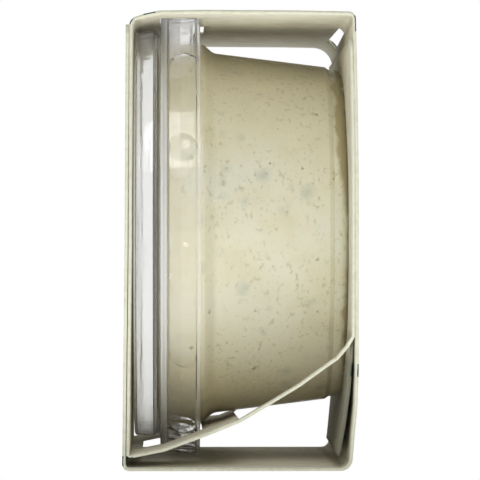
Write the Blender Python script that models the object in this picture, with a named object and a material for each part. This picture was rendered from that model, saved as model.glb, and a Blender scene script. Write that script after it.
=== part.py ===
"""Round clear tub of soft nut cheese lying on its side in a folded board sleeve.

Every size below is in millimetres, and MM turns it into metres when a mesh is made.
X runs from the lid (left) to the tub's base (right), Y from the open front to the
open back, Z upwards. The origin is on the floor, under the middle of the sleeve.
"""

import math

import bmesh
import bpy
from mathutils import Matrix, Vector

MM = 0.001

# Board sleeve
BOARD = 0.55
SLEEVE_HALF_DEPTH = 47.5
FLOOR_LINE = BOARD / 2
TOP_PANEL = 93.0
TOP_SAG_BACK = 0.6
TOP_BEND_FRONT = 1.2
TOP_BEND_BACK = 4.8
RING_LIFT = 1.2
BRIDGE_SAG = 1.3
BEND_STEPS = 4

# Openings in the board, as half lengths along the depth
WINDOW_HALF = 43.5
CRADLE_SLOT_HALF = 24.0
TOP_SLOT_HALF = 20.0
FOLD_SLOT = (-14.0, 24.0)
SPARE_LINES = (0.0, 14.0, 33.0)
LEG_TRIM = 0.988
LEG_PRESS_WIDTH = 22.0
LEG_BACK_SHARE = 0.95

# Tub and lid share one level axis along X
AXIS_HEIGHT = 48.8
TURN_STEPS = 48
TUB_WALL = 0.6
LID_WALL = 0.5
FIT_GAP = 0.3
LID_FACE = -21.75
RING_RADIUS = 43.7
LIP_RADIUS = 47.5
LIP_EDGE = -7.95
RIM_FACE = -15.05
RIM_RADIUS = 45.6
NECK_RADIUS = 40.9
BODY_RADIUS = 38.65
FOOT_RADIUS = 35.1
BASE_FACE = 22.4
FOOT_BEND = 3.4

# Round buttons pressed out of the lid's skirt
BUTTONS = 13
BUTTON_FIRST = math.radians(6.3)
BUTTON_X = -11.4
BUTTON_RADIUS = 2.4
BUTTON_HEIGHT = 0.75
SKIRT_RADIUS = 46.6


def clear_scene():
    """Remove whatever the file holds."""
    for item in list(bpy.data.objects):
        bpy.data.objects.remove(item, do_unlink=True)


def plain_material(name, colour, roughness, alpha=1.0):
    """One Principled material."""
    material = bpy.data.materials.new(name)
    material.use_nodes = True
    shader = material.node_tree.nodes["Principled BSDF"]
    shader.inputs["Base Color"].default_value = (*colour, 1.0)
    shader.inputs["Roughness"].default_value = roughness
    shader.inputs["Metallic"].default_value = 0.0
    shader.inputs["Alpha"].default_value = alpha
    return material


def add_object(name, mesh_data, material, sharp_angle=35.0):
    """Turn a bmesh into a named object shaded smooth up to its sharp edges."""
    mesh = bpy.data.meshes.new(name)
    mesh_data.to_mesh(mesh)
    mesh_data.free()
    mesh.shade_smooth()
    mesh.set_sharp_from_angle(angle=math.radians(sharp_angle))
    mesh.materials.append(material)
    item = bpy.data.objects.new(name, mesh)
    bpy.context.scene.collection.objects.link(item)
    return item


def rounded_line(points, steps):
    """Replace each corner that has a bend radius by an arc.

    points holds (name, x, z, radius). Gives the line's points, and the index of
    the first point of each named corner.
    """
    line = []
    places = {}
    for number, (name, x, z, radius) in enumerate(points):
        corner = Vector((x, z))
        if name:
            places[name] = len(line)
        if radius <= 0:
            line.append(corner)
            continue
        before = (Vector(points[number - 1][1:3]) - corner).normalized()
        after = (Vector(points[number + 1][1:3]) - corner).normalized()
        half_angle = math.acos(max(-1.0, min(1.0, before.dot(after)))) / 2
        reach = radius / math.tan(half_angle)
        centre = corner + (before + after).normalized() * radius / math.sin(half_angle)
        start = corner + before * reach - centre
        end = corner + after * reach - centre
        first = math.atan2(start.y, start.x)
        sweep = math.remainder(math.atan2(end.y, end.x) - first, math.tau)
        for step in range(steps + 1):
            angle = first + sweep * step / steps
            line.append(centre + radius * Vector((math.cos(angle), math.sin(angle))))
    return line, places


def sleeve_line(share):
    """Middle line of the board at a depth share from 0 (front) to 1 (back).

    The board starts at its glued end behind the lid, runs under the tub, up the
    right side and over the top, down behind the lid again and then slants up
    under the tub to end in a flap against the right side.
    """
    lift = RING_LIFT * (1 - (2 * share - 1) ** 2) ** 2
    sag = BRIDGE_SAG * share
    top = TOP_PANEL - TOP_SAG_BACK * share
    top_bend = TOP_BEND_FRONT + (TOP_BEND_BACK - TOP_BEND_FRONT) * share
    return [
        ("glued_end", -22.85, 90.3, 0),
        ("", -23.05, 46.0, 0),
        ("", -23.7, FLOOR_LINE, 1.2),
        ("", 22.3, FLOOR_LINE, 2.2),
        ("", 22.9, 7.1, 0),
        ("", 23.5, 13.5, 0),
        ("", 23.7, 20.0, 0),
        ("", 23.7, 60.0, 0),
        ("", 23.5, 77.0, 0),
        ("top_fold", 23.15, top - 0.3, top_bend),
        ("", 12.0, top - 0.1, 0),
        ("top_slot_right", -7.0, top, 0),
        ("top_slot_left", -16.4, top - 0.35 + lift / 2, 0),
        ("", -19.3, top - 1.0 + lift, 0),
        ("", -22.15, top - 1.5 + lift, 1.0),
        ("", -22.4, 46.0, 0),
        ("", -22.9, 2.7, 0.5),
        ("cradle_slot_left", -20.2, 3.25, 0),
        ("", -15.45, 4.2, 0),
        ("cradle_slot_right", -7.4, 7.15, 0),
        ("", -2.95, 8.9 - sag, 0),
        ("window_start", -0.05, 10.1 - sag, 0),
        ("", 5.95, 13.6, 0),
        ("", 12.05, 17.3, 0),
        ("", 15.65, 19.9, 0),
        ("", 19.75, 22.8, 0),
        ("", 21.75, 25.1, 0),
        ("hinge", 23.0, 27.2, 0),
        ("", 23.03, 32.0, 0),
        ("", 23.03, 60.0, 0),
        ("", 22.85, 77.0, 0),
        ("flap_end", 22.55, 87.4, 0),
    ]


def leg_line(depth, share):
    """Points (x, z) of the leg below the hinge.

    The leg leans away from the right side at the front and lies against it at
    the back, and in the middle the tub's base presses it outwards.
    """
    press = math.exp(-((depth / LEG_PRESS_WIDTH) ** 2))
    free = (1 - share) * (1 - press)
    edge = 1 - share * LEG_BACK_SHARE
    return [
        (22.98 - 0.4 * free, 21.3),
        (22.9 - 0.65 * free, 16.9),
        (22.8 - 0.9 * free, 14.2),
        (22.4 - 1.2 * edge, 9.2),
        (21.95 - 1.7 * edge, 4.1),
        (21.8 - 1.85 * edge, 2.9),
    ]


def depth_lines():
    """Every depth at which the board is divided, from front to back."""
    lines = set(FOLD_SLOT)
    for half in (SLEEVE_HALF_DEPTH, WINDOW_HALF, CRADLE_SLOT_HALF, TOP_SLOT_HALF, *SPARE_LINES):
        lines.add(half)
        lines.add(-half)
    return sorted(lines)


def is_open(places, row, front, back):
    """True where the board is cut away between two neighbouring depth lines."""
    middle = (front + back) / 2
    if places["top_slot_right"] <= row < places["top_slot_left"]:
        return abs(middle) < TOP_SLOT_HALF
    if places["cradle_slot_left"] <= row < places["cradle_slot_right"]:
        return abs(middle) < CRADLE_SLOT_HALF
    if places["window_start"] <= row < places["hinge"]:
        return abs(middle) < WINDOW_HALF
    if places["top_fold"] + 1 <= row < places["top_fold"] + BEND_STEPS - 1:
        return FOLD_SLOT[0] < middle < FOLD_SLOT[1]
    return False


def make_carton():
    """One board band folded into a sleeve with a slanting cradle and a leg."""
    mesh_data = bmesh.new()
    depths = depth_lines()
    columns = []
    legs = []
    for depth in depths:
        share = (depth + SLEEVE_HALF_DEPTH) / (2 * SLEEVE_HALF_DEPTH)
        line, places = rounded_line(sleeve_line(share), BEND_STEPS)
        column = [mesh_data.verts.new((x * MM, depth * MM, z * MM)) for x, z in line]
        leg = [column[places["hinge"]]]
        if abs(depth) <= WINDOW_HALF:
            side = depth * LEG_TRIM * MM
            leg += [mesh_data.verts.new((x * MM, side, z * MM)) for x, z in leg_line(depth, share)]
        columns.append(column)
        legs.append(leg)
    for strips in (columns, legs):
        for number in range(len(depths) - 1):
            near, far = strips[number], strips[number + 1]
            front, back = depths[number], depths[number + 1]
            for row in range(min(len(near), len(far)) - 1):
                if strips is columns and is_open(places, row, front, back):
                    continue
                mesh_data.faces.new((near[row], near[row + 1], far[row + 1], far[row]))
    loose = [vert for vert in mesh_data.verts if not vert.link_faces]
    bmesh.ops.delete(mesh_data, geom=loose, context="VERTS")
    bmesh.ops.recalc_face_normals(mesh_data, faces=mesh_data.faces)
    board = plain_material("board", (0.79, 0.79, 0.69), 0.75)
    carton = add_object("carton", mesh_data, board)
    thickness = carton.modifiers.new("board thickness", "SOLIDIFY")
    thickness.thickness = BOARD * MM
    thickness.offset = 0.0
    thickness.use_even_offset = True
    return carton


def turned_mesh(points, steps=3):
    """Turn an outline of (x, radius, bend) about the level axis of the tub."""
    corners = [("", x, radius, bend) for x, radius, bend in points]
    line, _ = rounded_line(corners, steps)
    mesh_data = bmesh.new()
    verts = [mesh_data.verts.new((x * MM, 0, (AXIS_HEIGHT + radius) * MM)) for x, radius in line]
    edges = [mesh_data.edges.new(pair) for pair in zip(verts, verts[1:])]
    bmesh.ops.spin(
        mesh_data,
        geom=verts + edges,
        cent=(0, 0, AXIS_HEIGHT * MM),
        axis=(1, 0, 0),
        angle=math.tau,
        steps=TURN_STEPS,
        use_merge=True,
    )
    bmesh.ops.remove_doubles(mesh_data, verts=mesh_data.verts, dist=0.0001 * MM)
    bmesh.ops.recalc_face_normals(mesh_data, faces=mesh_data.faces)
    return mesh_data


def button_mesh():
    """The buttons round the skirt: flattened balls sunk to their middle in the wall."""
    mesh_data = bmesh.new()
    for number in range(BUTTONS):
        angle = BUTTON_FIRST + number * math.tau / BUTTONS
        turn = Matrix.Rotation(angle, 4, "X")
        squash = Matrix.Diagonal((BUTTON_RADIUS, BUTTON_HEIGHT, BUTTON_RADIUS, 1))
        place = Matrix.Translation((BUTTON_X, -SKIRT_RADIUS + LID_WALL / 2, 0))
        lift = Matrix.Translation((0, 0, AXIS_HEIGHT))
        scale = Matrix.Scale(MM, 4)
        ball = bmesh.ops.create_uvsphere(
            mesh_data,
            u_segments=10,
            v_segments=6,
            radius=1.0,
            matrix=Matrix.Rotation(math.pi / 2, 4, "X"),
        )
        bmesh.ops.transform(mesh_data, matrix=scale @ lift @ turn @ place @ squash, verts=ball["verts"])
        inner = [vert for vert in ball["verts"] if radius_of(vert.co) < SKIRT_RADIUS - LID_WALL * 0.8]
        for vert in inner:
            sink_to(vert, SKIRT_RADIUS - LID_WALL * 0.8)
    return mesh_data


def radius_of(place):
    """Distance of a place from the tub's axis, in millimetres."""
    return math.hypot(place.y, place.z - AXIS_HEIGHT * MM) / MM


def sink_to(vert, radius):
    """Move a point straight out from the axis to the given radius."""
    factor = radius / radius_of(vert.co)
    vert.co.y *= factor
    vert.co.z = AXIS_HEIGHT * MM + (vert.co.z - AXIS_HEIGHT * MM) * factor


def make_lid():
    """Clear lid: a raised ring, a bead, and a skirt with buttons and a turned-out lip."""
    outline = [
        (LID_FACE, 0, 0),
        (LID_FACE, RING_RADIUS - 0.3, 0.7),
        (-17.2, RING_RADIUS, 0),
        (-16.6, RING_RADIUS - 0.7, 0),
        (-15.95, RING_RADIUS - 0.3, 0),
        (-15.85, 46.25, 0.4),
        (-14.6, 46.45, 0),
        (-14.2, 46.3, 0),
        (-8.95, 46.8, 0),
        (-8.7, LIP_RADIUS, 0),
        (LIP_EDGE, LIP_RADIUS, 0),
        (LIP_EDGE, 46.35, 0),
        (RIM_FACE - FIT_GAP, RIM_RADIUS + FIT_GAP, 0),
        (RIM_FACE - FIT_GAP, RING_RADIUS - 0.7, 0),
        (-16.6, RING_RADIUS - 1.2, 0),
        (-17.4, RING_RADIUS - LID_WALL, 0),
        (LID_FACE + LID_WALL, RING_RADIUS - 0.8, 0),
        (LID_FACE + LID_WALL, 0, 0),
    ]
    clear = plain_material("clear_plastic_lid", (0.82, 0.84, 0.80), 0.12, 0.35)
    lid = add_object("lid", turned_mesh(outline, 2), clear)
    buttons = add_object("lid_buttons", button_mesh(), clear)
    buttons.hide_render = True
    buttons.display_type = "WIRE"
    union = lid.modifiers.new("buttons", "BOOLEAN")
    union.operation = "UNION"
    union.solver = "EXACT"
    union.object = buttons
    return lid


def make_tub():
    """Clear tapered tub with a rim that hooks under the lid and a small stepped foot."""
    wall = TUB_WALL
    hem = RIM_FACE + 3.0
    outline = [
        (BASE_FACE, 0, 0),
        (BASE_FACE, FOOT_RADIUS, FOOT_BEND),
        (19.55, FOOT_RADIUS, 0),
        (19.15, FOOT_RADIUS + 0.6, 0),
        (-5.2, BODY_RADIUS, 1.6),
        (-6.9, NECK_RADIUS - 0.4, 0),
        (RIM_FACE + wall, NECK_RADIUS, 0),
        (RIM_FACE + wall, RIM_RADIUS - wall, 0),
        (hem, RIM_RADIUS - wall, 0),
        (hem, RIM_RADIUS, 0),
        (RIM_FACE, RIM_RADIUS, 0),
        (RIM_FACE, NECK_RADIUS - wall, 0),
        (-7.1, NECK_RADIUS - wall - 0.4, 0),
        (-5.5, BODY_RADIUS - wall, 1.6),
        (18.85, FOOT_RADIUS + 0.6 - wall, 0),
        (19.25, FOOT_RADIUS - wall, 0),
        (BASE_FACE - wall, FOOT_RADIUS - wall, FOOT_BEND - wall),
        (BASE_FACE - wall, 0, 0),
    ]
    clear = plain_material("clear_plastic_tub", (0.84, 0.85, 0.80), 0.1, 0.35)
    return add_object("tub", turned_mesh(outline, 3), clear)


def make_cheese():
    """Soft filling up to the tub's rim, a small gap inside the wall."""
    inset = TUB_WALL + FIT_GAP
    outline = [
        (BASE_FACE - inset, 0, 0),
        (BASE_FACE - inset, FOOT_RADIUS - inset, FOOT_BEND - TUB_WALL),
        (18.7, FOOT_RADIUS - inset + 0.1, 0),
        (-5.7, BODY_RADIUS - inset, 1.6),
        (-7.3, NECK_RADIUS - inset - 0.4, 0),
        (RIM_FACE + 0.2, NECK_RADIUS - inset, 0),
        (RIM_FACE + 0.2, 0, 0),
    ]
    soft = plain_material("soft_cheese", (0.68, 0.63, 0.46), 0.55)
    return add_object("cheese", turned_mesh(outline, 3), soft)


def main():
    """Build the sleeve, the lid, the tub and the filling."""
    clear_scene()
    make_carton()
    make_lid()
    make_tub()
    make_cheese()


main()
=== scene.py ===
# %% [markdown]
# A tub of soft nut cheese in its board sleeve
#
# The object is a round tub of clear plastic, full of pale speckled cheese. It lies on
# its side in a sleeve folded from one band of paperboard, and the sleeve stands on its
# narrow bottom panel. We look in through the open front. The solids that carry the
# sizes are already packed as a frame, so this script only has to make them look real.

# %% Load the frame
import math

import bmesh
import bpy
import numpy as np
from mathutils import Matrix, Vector, noise


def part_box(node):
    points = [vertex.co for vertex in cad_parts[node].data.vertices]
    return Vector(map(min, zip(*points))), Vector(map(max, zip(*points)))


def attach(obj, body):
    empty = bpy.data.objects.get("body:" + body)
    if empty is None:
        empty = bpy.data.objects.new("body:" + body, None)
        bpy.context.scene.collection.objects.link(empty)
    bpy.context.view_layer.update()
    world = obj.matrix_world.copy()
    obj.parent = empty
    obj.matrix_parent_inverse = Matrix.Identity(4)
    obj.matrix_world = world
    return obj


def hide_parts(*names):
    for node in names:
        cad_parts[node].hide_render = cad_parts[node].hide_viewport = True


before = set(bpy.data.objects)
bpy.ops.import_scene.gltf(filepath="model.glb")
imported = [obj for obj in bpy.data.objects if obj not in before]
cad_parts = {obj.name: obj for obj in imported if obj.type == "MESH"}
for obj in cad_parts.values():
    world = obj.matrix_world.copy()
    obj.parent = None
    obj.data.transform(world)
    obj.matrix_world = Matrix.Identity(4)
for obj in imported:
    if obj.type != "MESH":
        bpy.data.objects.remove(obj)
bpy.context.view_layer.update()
CARTON_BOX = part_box("carton")
TUB_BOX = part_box("tub")
LID_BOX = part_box("lid")

# %% [markdown]
# Units
#
# The board is half a millimetre thick, so millimetres are the natural unit here. Every
# outline below is written in millimetres and multiplied by MM when its mesh is made. The
# sleeve stops a hair short of the solids' box, so that nothing reaches past it.

# %% Units and the sizes that everything shares
MM = 0.001
EDGE_TRIM = 0.02
HALF_DEPTH = CARTON_BOX[1][1] / MM - EDGE_TRIM
AXIS_HEIGHT = (LID_BOX[0][2] + LID_BOX[1][2]) / 2 / MM
print("half depth", round(HALF_DEPTH, 2), "tub axis height", round(AXIS_HEIGHT, 2))

# %% [markdown]
# Camera
#
# The back opening of the sleeve looks about 11 percent smaller than the front one, which
# says how far away the camera stood: 7.7 sleeve depths. From there a long lens is needed
# to fill the picture. The point that depth lines run to lies left of and below the
# middle, so the camera stands level with that point and turns a little to aim.

# %% Place the camera
PICTURE = 480
VANISHING_PIXEL = (170, 285)
MM_PER_PIXEL = 0.2022
CAMERA_DISTANCE = 731.5
CAMERA_X = -14.25
CAMERA_Z = 37.6


def aim_camera():
    data = bpy.data.cameras.new("camera")
    camera = bpy.data.objects.new("camera", data)
    bpy.context.scene.collection.objects.link(camera)
    focal_pixels = CAMERA_DISTANCE / MM_PER_PIXEL
    data.sensor_width = 36.0
    data.lens = focal_pixels / PICTURE * data.sensor_width
    data.clip_end = 200.0
    camera.location = (CAMERA_X * MM, -(HALF_DEPTH + CAMERA_DISTANCE) * MM, CAMERA_Z * MM)
    right = PICTURE / 2 - VANISHING_PIXEL[0]
    up = VANISHING_PIXEL[1] - PICTURE / 2
    view = Vector((right, focal_pixels, up))
    camera.rotation_euler = view.to_track_quat("-Z", "Y").to_euler()
    bpy.context.scene.camera = camera
    print("lens", round(data.lens, 1), "mm")


aim_camera()

# %% [markdown]
# Light and floor
#
# The photo has soft, even studio light from the front and a little above, on plain
# white. A large raised panel behind the camera does most of the work, and a weak level
# one reaches into the sleeve. A smaller panel stands nearer and higher. It is the only
# one that shows in reflections, where it gives the window-like patch on the lid. A high
# panel lights the top, and a card on the floor in front stands for the light that white
# paper throws upwards. A picture of a studio could light the scene at one stroke, but
# panels can be moved one by one until each reflection lies where the photo has it.

# %% Light panels
RAISED_WATTS = 2.35
LEVEL_WATTS = 0.3
WINDOW_WATTS = 0.75
HIGH_WATTS = 1.0
CARD_WATTS = 0.13
AIM_POINT = Vector((0.0, 0.0, 0.048))


def add_panel(name, place, size, watts, reflected=False, aim=AIM_POINT):
    """A rectangular light turned to its aim; a soft fill is kept out of reflections."""
    data = bpy.data.lights.new(name, "AREA")
    data.shape = "RECTANGLE"
    data.size, data.size_y = size
    data.energy = watts
    panel = bpy.data.objects.new(name, data)
    panel.location = place
    panel.rotation_euler = (Vector(aim) - Vector(place)).to_track_quat("-Z", "Y").to_euler()
    panel.visible_camera = False
    panel.visible_glossy = panel.visible_transmission = reflected
    bpy.context.scene.collection.objects.link(panel)
    print(name, watts, "W")


add_panel("raised_panel", (0.0, -0.95, 0.36), (0.55, 0.35), RAISED_WATTS)
add_panel("level_panel", (-0.02, -1.0, 0.06), (0.5, 0.2), LEVEL_WATTS)
add_panel("window_panel", (0.0, -0.48, 0.596), (0.26, 0.415), WINDOW_WATTS, reflected=True)
add_panel("high_panel", (0.05, 0.25, 0.95), (0.9, 0.9), HIGH_WATTS)
add_panel("floor_card", (0.0, -0.125, 0.002), (0.3, 0.12), CARD_WATTS, aim=(0.0, -0.124, 1.0))

# %% [markdown]
# Helpers for nodes
#
# Every finish here is a small network of nodes. Adding a node, setting its values and
# linking it takes several lines each time, so a few helpers do that. They are the
# words that all the materials below are written in.

# %% Node helpers
def add_node(tree, kind, inputs=None, **settings):
    """One node, its own settings as keywords and its input values by socket name."""
    node = tree.nodes.new(kind)
    for name, value in settings.items():
        setattr(node, name, value)
    for name, value in (inputs or {}).items():
        node.inputs[name].default_value = value
    return node


def ramp(tree, source, stops):
    """A colour ramp with stops (position, colour) fed by a socket; gives its Color."""
    node = add_node(tree, "ShaderNodeValToRGB")
    elements = node.color_ramp.elements
    while len(elements) < len(stops):
        elements.new(0.5)
    for element, (position, colour) in zip(elements, stops):
        element.position = position
        element.color = (*colour, 1.0)
    tree.links.new(source, node.inputs["Fac"])
    return node.outputs["Color"]


def mix_colours(tree, share, first, second):
    """Mix two colours; each argument is a socket or a plain value."""
    node = add_node(tree, "ShaderNodeMix", data_type="RGBA")
    for socket, value in ((0, share), (6, first), (7, second)):
        if isinstance(value, bpy.types.NodeSocket):
            tree.links.new(value, node.inputs[socket])
        else:
            node.inputs[socket].default_value = value if socket == 0 else (*value, 1.0)
    return node.outputs[2]


def maths(tree, operation, first, second=0.0, clamp=False):
    """A Math node; each argument is a socket or a number."""
    node = add_node(tree, "ShaderNodeMath", operation=operation, use_clamp=clamp)
    for socket, value in ((0, first), (1, second)):
        if isinstance(value, bpy.types.NodeSocket):
            tree.links.new(value, node.inputs[socket])
        else:
            node.inputs[socket].default_value = value
    return node.outputs[0]


def material_with_shader(name):
    """A new material, its node tree and its Principled shader."""
    material = bpy.data.materials.new(name)
    material.use_nodes = True
    tree = material.node_tree
    print("material", name)
    return material, tree, tree.nodes["Principled BSDF"]


def join_shaders(tree, share, first, second, output):
    """Mix two shaders by a socket and lead the result to the output node."""
    mix = add_node(tree, "ShaderNodeMixShader")
    for socket, source in enumerate((share, first.outputs[0], second.outputs[0])):
        tree.links.new(source, mix.inputs[socket])
    tree.links.new(mix.outputs[0], output.inputs["Surface"])


# %% [markdown]
# White paper all round
#
# The object stands on seamless white paper. If that paper lit the scene as strongly as
# it looks, the inside of the sleeve would lose its shade. The Light Path node tells the
# rays apart: those that come from the camera, straight or through the clear plastic,
# see white, and those that carry light or a reflection see much less.

# %% The world and the floor
WHITE = (1.0, 1.0, 1.0)
WORLD_LIGHT = (1.0, 0.98, 0.94)
WORLD_STRENGTH = 0.14
WORLD_REFLECTED = 0.45
FLOOR_GLOW = 0.7
FLOOR_REFLECTED = 0.4
FLOOR_WIDTH = 80.0
FLOOR_GREY = (0.3, 0.3, 0.3)


def seen_straight(tree, path):
    """1 for rays from the camera, also those that went through clear plastic."""
    return maths(tree, "MAXIMUM", path.outputs["Is Camera Ray"], path.outputs["Is Transmission Ray"])


def strength_by_ray(tree, path, as_light, reflected):
    """A strength with one value for reflections and one for all other rays."""
    change = maths(tree, "MULTIPLY", path.outputs["Is Glossy Ray"], reflected - as_light)
    return maths(tree, "ADD", change, as_light)


def set_world():
    world = bpy.data.worlds.new("studio")
    bpy.context.scene.world = world
    world.use_nodes = True
    tree = world.node_tree
    seen = tree.nodes["Background"]
    seen.inputs["Color"].default_value = (*WHITE, 1.0)
    light = add_node(tree, "ShaderNodeBackground", {"Color": (*WORLD_LIGHT, 1.0)})
    path = add_node(tree, "ShaderNodeLightPath")
    strength = strength_by_ray(tree, path, WORLD_STRENGTH, WORLD_REFLECTED)
    tree.links.new(strength, light.inputs["Strength"])
    join_shaders(tree, seen_straight(tree, path), light, seen, tree.nodes["World Output"])


def lay_floor():
    mesh = bpy.data.meshes.new("floor")
    half = FLOOR_WIDTH / 2
    corners = [(-half, -half, 0), (half, -half, 0), (half, half, 0), (-half, half, 0)]
    mesh.from_pydata(corners, [], [(0, 1, 2, 3)])
    floor = bpy.data.objects.new("floor", mesh)
    bpy.context.scene.collection.objects.link(floor)
    material, tree, shader = material_with_shader("floor_paper")
    shader.inputs["Base Color"].default_value = (*FLOOR_GREY, 1.0)
    shader.inputs["Roughness"].default_value = 0.9
    shader.inputs["Emission Color"].default_value = (*WHITE, 1.0)
    lit = add_node(tree, "ShaderNodeEmission", {"Strength": 1.0})
    path = add_node(tree, "ShaderNodeLightPath")
    glow = strength_by_ray(tree, path, FLOOR_GLOW, FLOOR_REFLECTED)
    tree.links.new(glow, shader.inputs["Emission Strength"])
    join_shaders(tree, seen_straight(tree, path), shader, lit, tree.nodes["Material Output"])
    mesh.materials.append(material)
    print("floor", FLOOR_WIDTH, "m wide")


set_world()
lay_floor()

# %% The picture's tones
PICTURE_GAMMA = 0.86
view = bpy.context.scene.view_settings
view.view_transform = "Standard"
view.gamma = PICTURE_GAMMA
print("view", view.view_transform, "gamma", round(view.gamma, 2))

# %% [markdown]
# Lines with rounded corners
#
# Both the folded board and the turned plastic start as an outline: a list of corners,
# each with a bend radius. A Bevel modifier could round them later, but then the places
# along the line would no longer be known. So one helper replaces every corner by an arc
# and remembers the named ones, and another adds numbers between two that lie far apart.

# %% Outline helpers
def rounded_line(points, steps):
    """Replace each corner (name, x, z, radius) by an arc; gives points and named places."""
    line = []
    places = {}
    for number, (name, x, z, radius) in enumerate(points):
        corner = Vector((x, z))
        if name:
            places[name] = len(line)
        if radius <= 0:
            line.append(corner)
            continue
        before = (Vector(points[number - 1][1:3]) - corner).normalized()
        after = (Vector(points[number + 1][1:3]) - corner).normalized()
        half_angle = math.acos(max(-1.0, min(1.0, before.dot(after)))) / 2
        centre = corner + (before + after).normalized() * radius / math.sin(half_angle)
        start = corner + before * radius / math.tan(half_angle) - centre
        end = corner + after * radius / math.tan(half_angle) - centre
        first = math.atan2(start.y, start.x)
        sweep = math.remainder(math.atan2(end.y, end.x) - first, math.tau)
        for step in range(steps + 1):
            angle = first + sweep * step / steps
            line.append(centre + radius * Vector((math.cos(angle), math.sin(angle))))
    return line, places


def divide(values, longest):
    """Add evenly spaced numbers between neighbours that lie too far apart."""
    finer = [values[0]]
    for before, after in zip(values, values[1:]):
        parts = max(1, math.ceil(abs(after - before) / longest))
        finer += [before + (after - before) * part / parts for part in range(1, parts + 1)]
    return finer


# %% [markdown]
# The sleeve
#
# The real sleeve is a long band of board. It starts beside the lid's face and runs down
# it, under the tub, up the right side, over the top and down beside the lid a second
# time, where it is glued. From there it slants up under the tub as a cradle and ends in
# a flap against the right side. Slots let the lid's lip through, and the board cut out
# of the cradle hangs down as a leg. Separate panels could be put together instead, but
# they would have to meet at every fold. One sheet that follows one line, with its cells
# left out where the slots are, folds as the real one does. Solidify then gives it its
# thickness and a material of its own on each side and on the cut edges.

# %% The line that the board follows
BOARD = 0.55
SHOWN_BOARD = 0.66
FLOOR_LINE = BOARD / 2
TOP_PANEL = 93.0
TOP_SAG_BACK = 0.6
TOP_BEND = (1.2, 4.8)
RING_LIFT = 1.2
BRIDGE_SAG = 1.3
BEND_STEPS = 8


def sleeve_corners(share):
    """Corners of the board's middle line at a depth share from 0 (front) to 1 (back)."""
    lift = RING_LIFT * (1 - (2 * share - 1) ** 2) ** 2
    sag = BRIDGE_SAG * share
    top = TOP_PANEL - TOP_SAG_BACK * share
    top_bend = TOP_BEND[0] + (TOP_BEND[1] - TOP_BEND[0]) * share
    return [
        ("glued_end", -23.0, 90.3, 0),
        ("", -23.2, 46.0, 0),
        ("bottom_left", -23.7, FLOOR_LINE, 1.2),
        ("bottom_right", 22.3, FLOOR_LINE, 2.2),
        ("", 22.9, 7.1, 0),
        ("", 23.5, 13.5, 0),
        ("", 23.7, 20.0, 0),
        ("", 23.7, 60.0, 0),
        ("", 23.5, 77.0, 0),
        ("top_fold", 23.15, top - 0.3, top_bend),
        ("", 12.0, top - 0.1, 0),
        ("top_slot_right", -7.0, top, 0),
        ("top_slot_tip", -8.1, top, 0),
        ("top_slot_left", -16.4, top - 0.15 + lift / 2, 0),
        ("", -19.3, top - 0.75 + lift, 0),
        ("top_left", -22.3, top - 1.75 + lift, 1.7),
        ("", -22.42, 46.0, 0),
        ("cradle_fold", -22.9, 2.7, 0.5),
        ("cradle_slot_left", -20.2, 3.25, 0),
        ("", -15.45, 4.2, 0),
        ("cradle_slot_right", -7.4, 7.15, 0),
        ("", -2.95, 8.9 - sag, 0),
        ("window_start", -0.05, 10.1 - sag, 0),
        ("", 5.95, 13.6, 0),
        ("", 12.05, 17.3, 0),
        ("", 15.65, 19.9, 0),
        ("", 19.75, 22.8, 0),
        ("", 21.75, 25.1, 0),
        ("hinge", 23.0, 27.2, 0),
        ("", 23.03, 32.0, 0),
        ("", 23.03, 60.0, 0),
        ("", 22.85, 77.0, 0),
        ("flap_end", 22.55, 87.4, 0),
    ]


LEG_PRESS_WIDTH = 22.0
LEG_BACK_SHARE = 0.95


def leg_corners(depth, share):
    """The leg below the hinge, free at the front and pressed outwards by the tub's base."""
    press = math.exp(-((depth / LEG_PRESS_WIDTH) ** 2))
    free = (1 - share) * (1 - press)
    edge = 1 - share * LEG_BACK_SHARE
    return [
        (22.98 - 0.4 * free, 21.3),
        (22.9 - 0.65 * free, 16.9),
        (22.8 - 0.9 * free, 14.2),
        (22.4 - 1.2 * edge, 9.2),
        (21.95 - 1.7 * edge, 4.1),
        (21.8 - 1.85 * edge, 2.9),
    ]


# %% Smooth the line and note where its named places end up
LONGEST_STEP = 2.5


def count_parts():
    """How many steps each stretch of the line is divided into, the same at every depth."""
    corners, _ = rounded_line(sleeve_corners(0.5), BEND_STEPS)
    return [max(1, math.ceil((b - a).length / LONGEST_STEP)) for a, b in zip(corners, corners[1:])]


PARTS = count_parts()
print("points along the board", sum(PARTS) + 1)


def fine_line(share):
    """Points along the board, and the index of each named place."""
    corners, places = rounded_line(sleeve_corners(share), BEND_STEPS)
    line = [corners[0]]
    moved = [0]
    for before, after, parts in zip(corners, corners[1:], PARTS):
        line += [before.lerp(after, part / parts) for part in range(1, parts + 1)]
        moved.append(len(line) - 1)
    return line, {name: moved[place] for name, place in places.items()}


# %% [markdown]
# Openings in the board
#
# A cutting die punches the slots and the window out of the flat band before it is
# folded. The sheet below is a grid of small faces, so an opening is simply a set of
# faces that are never made. Its limits are a stretch of the line and a width in depth.

# %% Where the board is cut away
WINDOW_HALF = 43.5
CRADLE_SLOT_HALF = 24.0
TOP_SLOT_HALF = 34.0
TIP_SLOT_HALF = 12.0
FOLD_SLOT = (-14.0, 24.0)
FOLD_MARGIN = 2
print("window in the cradle", 2 * WINDOW_HALF, "mm, slot in the top", 2 * TOP_SLOT_HALF, "mm")


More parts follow.
